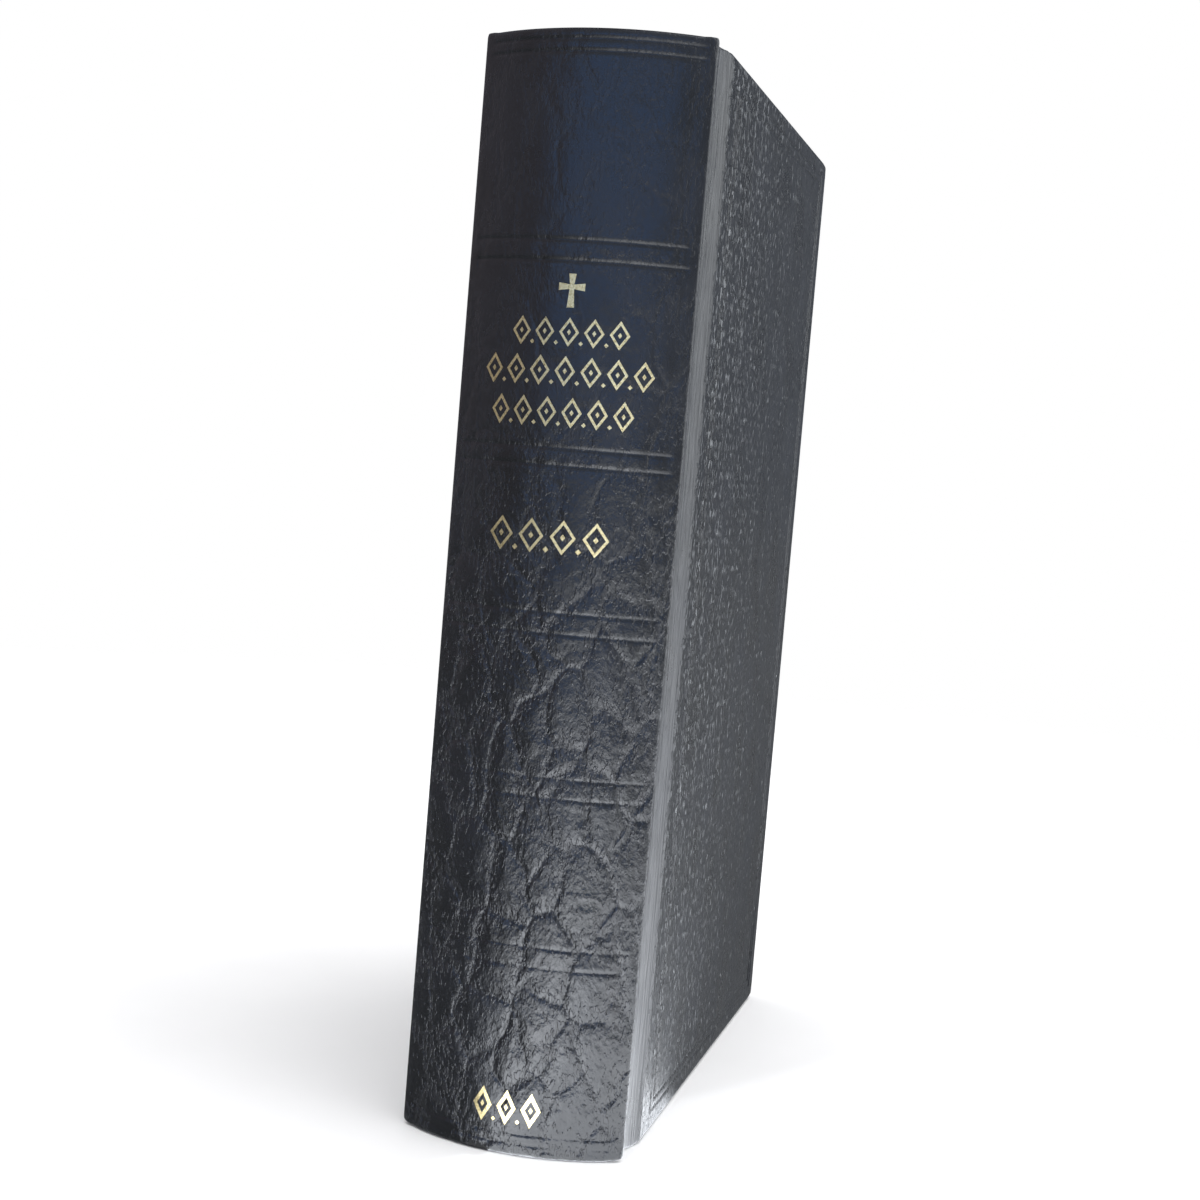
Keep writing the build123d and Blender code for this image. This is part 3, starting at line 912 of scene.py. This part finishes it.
def wound_thread():
    """Headband thread: two colours in turn, with the twist of each strand and painted shade between the
    strands.
    """
    material, tree, shader = new_material("headband_thread")
    source = add(tree, "Attribute", attribute_name="grain")
    parts = add(tree, "SeparateXYZ", {"Vector": source.outputs["Vector"]})
    stripe = math_node(tree, "MULTIPLY", parts.outputs["X"], 0.25)
    stripe = add(tree, "Math", {0: stripe}, operation="FRACT").outputs["Value"]
    colour = ramp(tree, stripe, [(0.0, (0.20, 0.016, 0.02)), (0.48, (0.24, 0.02, 0.025)),
                                 (0.52, (0.72, 0.66, 0.50)), (1.0, (0.66, 0.60, 0.44))])
    fibre = noise_node(tree, grain_vector(tree, (9.0, 2.5, 1.0), (0, 0, 0.5)), 3.0)
    # The fibre streaks darken the colour towards brown: painted shade between the strands
    finish_surface(tree, shader, mix_colour(tree, fibre, colour, (0.1, 0.06, 0.05)), fibre, (0.55, 0.85))
    bump(tree, shader, [(fibre, 0.06, 0.8)])
    return material


def woven(name, light, dark, pitch):
    """Open cloth: two crossed sets of threads."""
    material, tree, shader = new_material(name)
    across = add(tree, "TexWave", {"Vector": object_vector(tree, (0, 0, 1 / pitch)), "Scale": 0.3183,
                                   "Distortion": 0.6}, bands_direction="Z")
    along = add(tree, "TexWave", {"Vector": object_vector(tree, (1 / pitch, 1 / pitch, 0)), "Scale": 0.3183,
                                  "Distortion": 0.6}, bands_direction="X")
    weave = math_node(tree, "MULTIPLY", across.outputs["Fac"], along.outputs["Fac"])
    finish_surface(tree, shader, ramp(tree, weave, [(0.0, dark), (0.8, light)]), weave, (0.95, 0.75))
    bump(tree, shader, [(weave, 0.12, 0.8)])
    return material


def card(name, light, dark, speck):
    """Board or lining paper: mixed fibres with darker specks."""
    material, tree, shader = new_material(name)
    fibre = noise_node(tree, object_vector(tree, (1.2, 1.2, 1.2)), 6.0, 0.7)
    colour = ramp(tree, fibre, [(speck, dark), (speck + 0.25, light)])
    finish_surface(tree, shader, colour, fibre, (0.8, 0.98))
    bump(tree, shader, [(fibre, 0.05, 0.6)])
    return material


def linen(name):
    """Twisted sewing thread."""
    material, tree, shader = new_material(name)
    twist = add(tree, "TexWave", {"Vector": object_vector(tree, (1.0, 1.0, 1.0)), "Scale": 1.4,
                                  "Distortion": 1.0}, bands_direction="DIAGONAL")
    twist = twist.outputs["Fac"]
    colour = ramp(tree, twist, [(0.0, (0.55, 0.52, 0.45)), (0.6, (0.84, 0.81, 0.74))])
    finish_surface(tree, shader, colour, twist, (0.9, 0.7))
    bump(tree, shader, [(twist, 0.05, 0.8)])
    return material


def floor_paint():
    """A plain pale studio floor with a faint mottle, which fades into the white of the room."""
    material, tree, shader = new_material("studio_floor")
    mottle = noise_node(tree, object_vector(tree, (0.02, 0.02, 0.02)), 3.0)
    tree.links.new(ramp(tree, mottle, [(0.3, (0.84, 0.84, 0.84)), (0.7, (0.88, 0.88, 0.88))]),
                   shader.inputs["Base Color"])
    set_shader(shader, Roughness=0.9)
    place = add(tree, "TexCoord").outputs["Object"]
    away = add(tree, "VectorMath", {0: place}, operation="LENGTH").outputs["Value"]
    tree.links.new(remap(tree, away, *FLOOR_FADE, 1.0, 0.0), shader.inputs["Alpha"])
    return material


def paint(obj, material):
    """Gives the object this material alone."""
    obj.data.materials.clear()
    obj.data.materials.append(material)


# ------------ building

spine_grain = spine_leather()
cover_grain = cover_leather()
leaf_paper = paper("leaf_paper", (0.77, 0.74, 0.66), (0.50, 0.46, 0.38), 7.0)
end_paper = paper("end_paper", (0.74, 0.70, 0.60), (0.56, 0.51, 0.42), 0.6)

spine = spine_skin()
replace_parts(spine, "spine_leather")
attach(spine, "root")
paint(spine, spine_grain)

for side, sign in (("front", 1), ("back", -1)):
    paint(cover_skin(side, sign), cover_grain)
    paint(endsheet(side, sign), end_paper)
    paint(flyleaf(side, sign), end_paper)

for name in frame["nodes"]:
    if name.startswith("gathering_"):
        paint(page_stack(int(name[-2:])), leaf_paper)

thread = wound_thread()
paint(end_band("headband_wound", "headband", True), thread)
paint(end_band("tailband_wound", "tailband", False), thread)

gold = gold_leaf()
for mark in ornaments():
    paint(mark, gold)

fold_paper = paper("fold_paper", (0.78, 0.75, 0.66), (0.42, 0.38, 0.31), 6.0, cad=True)
board_card = card("board_card", (0.40, 0.36, 0.29), (0.16, 0.14, 0.11), 0.35)
kraft = card("kraft_lining", (0.52, 0.38, 0.24), (0.30, 0.21, 0.13), 0.35)
mull_cloth = woven("mull_cloth", (0.80, 0.77, 0.69), (0.30, 0.28, 0.24), 0.8)
CAD_LOOKS = {
    "sewn_folds": fold_paper,
    "sewing_thread": linen("linen_thread"),
    "spine_inlay": board_card,
    "front_board": board_card,
    "back_board": board_card,
    "spine_lining": kraft,
    "mull": mull_cloth,
    "front_mull_flap": mull_cloth,
    "back_mull_flap": mull_cloth,
}
for name, material in CAD_LOOKS.items():
    paint(frame["nodes"][name], material)


# ------------ studio

def build_floor():
    """A floor just under the tail, kept off the object."""
    half = FLOOR_SIZE / 2 / MM
    n = FLOOR_CELLS + 1
    steps = np.linspace(-half, half, n)
    points = [(x, y, FLOOR_Z) for x in steps for y in steps]
    faces = [(i * n + j, (i + 1) * n + j, (i + 1) * n + j + 1, i * n + j + 1)
             for i in range(FLOOR_CELLS) for j in range(FLOOR_CELLS)]
    obj = piece("studio_floor", points, faces)
    paint(obj, floor_paint())


def area_light(name, place, target, width, height, radiance):
    """A white soft box that the camera and the gloss don't see, aimed at a point; sizes in metres."""
    light = bpy.data.lights.new(name, "AREA")
    light.shape = "RECTANGLE"
    light.size, light.size_y = width, height
    light.energy = radiance * math.pi * width * height
    obj = link_object(name, light)
    obj.location = place
    obj.rotation_euler = (Vector(target) - Vector(place)).to_track_quat("-Z", "Y").to_euler()
    obj.visible_glossy = False
    obj.visible_camera = False


def turned_past(tree, direction, azimuth, softness):
    """1 in the half turn that follows an azimuth, going from -Y towards +X, and 0 in the other half."""
    a = math.radians(azimuth)
    side = add(tree, "VectorMath", {0: direction, 1: (math.cos(a), math.sin(a), 0)}, operation="DOT_PRODUCT")
    return remap(tree, side.outputs["Value"], -softness, softness)


def build_world():
    """White to the camera, soft grey light on the object, and a room with a cool window in its gloss."""
    world = bpy.data.worlds.new("studio")
    bpy.context.scene.world = world
    world.use_nodes = True
    tree = world.node_tree
    tree.nodes.clear()
    direction = add(tree, "TexCoord").outputs["Generated"]
    rise = add(tree, "SeparateXYZ", {"Vector": direction}).outputs["Z"]
    sky = ramp(tree, rise, SKY)
    # The back wall comes last, because the left wall's half turn would cover it
    room = mix_colour(tree, turned_past(tree, direction, 34.0, 0.10), sky, RIGHT_WALL)
    room = mix_colour(tree, turned_past(tree, direction, 80.0, 0.12), room, SIDE_WINDOW)
    room = mix_colour(tree, turned_past(tree, direction, ROOM_EDGE, 0.03), LEFT_WALL, room)
    behind = math_node(tree, "MULTIPLY", turned_past(tree, direction, 148.0, 0.04),
                       turned_past(tree, direction, 60.0, 0.04))
    room = mix_colour(tree, behind, room, BACK_WALL)
    gloss = add(tree, "Background", {"Color": room})
    plain = add(tree, "Background", {"Color": PLAIN_LIGHT})
    white = add(tree, "Background", {"Color": WHITE})
    path = add(tree, "LightPath")
    glossy, camera = path.outputs["Is Glossy Ray"], path.outputs["Is Camera Ray"]
    seen = add(tree, "MixShader", {0: glossy, 1: plain.outputs[0], 2: gloss.outputs[0]})
    both = add(tree, "MixShader", {0: camera, 1: seen.outputs[0], 2: white.outputs[0]})
    output = add(tree, "OutputWorld")
    tree.links.new(both.outputs[0], output.inputs["Surface"])


def fading(level, reference, away, nearest, power):
    """A level at a reference distance that falls off with distance and is even within the nearest."""
    return level * (reference / max(away, nearest)) ** power


def card_glow(azimuth, away):
    """What the gloss sees of the table: bright in front and to the right, dim to the left and behind."""
    if azimuth <= ROOM_EDGE:
        return CARD_LEFT
    front = min(fading(6.2, 0.10, away, 0.03, 0.68), CARD_LIMIT)
    front *= 0.16 + 0.84 * float(smooth(-34, 22, azimuth))
    front *= 1 - 0.40 * float(smooth(24, 42, azimuth))
    right = fading(3.6, 0.12, away, 0.06, 0.15)
    behind = 0.20 + fading(0.10, 0.10, away, 0.05, 1)
    glow = front + (right - front) * float(smooth(80, 105, azimuth))
    return glow + (behind - glow) * float(smooth(144, 150, azimuth))


def reflected_table():
    """A thin card over the floor that only reflections see; it gives the leather its gradient."""
    azimuths = sorted(set(list(np.linspace(-180, 180, 73)) + [ROOM_EDGE - 0.6, ROOM_EDGE + 0.6]))
    rings = [0.002] + list(np.geomspace(0.02, 3.5, 26))
    points, faces, glows = [], [], []
    for azimuth in azimuths:
        a = math.radians(azimuth)
        for away in rings:
            x, y = CARD_START[0] + away * math.sin(a), CARD_START[1] - away * math.cos(a)
            points.append((x / MM, y / MM, CARD_START[2] / MM))
            glows.append((*(card_glow(azimuth, away) * tint for tint in CARD_TINT), 1.0))
    n = len(rings)
    for i in range(len(azimuths) - 1):
        for j in range(n - 1):
            faces.append((i * n + j, i * n + j + 1, (i + 1) * n + j + 1, (i + 1) * n + j))
    obj = piece("reflected_table", points, faces)
    attribute = obj.data.attributes.new("glow", "FLOAT_COLOR", "POINT")
    attribute.data.foreach_set("color", np.array(glows, np.float32).ravel())
    material = bpy.data.materials.new("reflected_table")
    material.use_nodes = True
    tree = material.node_tree
    tree.nodes.clear()
    source = add(tree, "Attribute", attribute_name="glow")
    light = add(tree, "Emission", {"Color": source.outputs["Color"]})
    output = add(tree, "OutputMaterial")
    tree.links.new(light.outputs[0], output.inputs["Surface"])
    paint(obj, material)
    for ray in ("camera", "diffuse", "transmission", "shadow"):
        setattr(obj, f"visible_{ray}", False)


def build_camera():
    """The camera that was fitted to the photo's corners and outline."""
    data = bpy.data.cameras.new("camera")
    data.sensor_width = SENSOR
    data.lens = LENS
    data.clip_start = CLIP_START
    obj = link_object("camera", data)
    a, e = CAMERA_AZIMUTH, CAMERA_ELEVATION
    back = Vector((math.sin(a) * math.cos(e), -math.cos(a) * math.cos(e), math.sin(e)))
    level = (-back).cross(Vector((0, 0, 1))).normalized()
    upright = back.cross(level)
    c, s = math.cos(CAMERA_ROLL), math.sin(CAMERA_ROLL)
    right, up = level * c + upright * s, upright * c - level * s
    turn = Matrix((right, up, back)).transposed()
    obj.matrix_world = Matrix.Translation(CAMERA_PLACE) @ turn.to_4x4()
    bpy.context.scene.camera = obj


build_floor()
reflected_table()
build_world()
build_camera()
for name, settings in LIGHTS.items():
    area_light(name, *settings)
bpy.context.scene.view_settings.view_transform = "Standard"
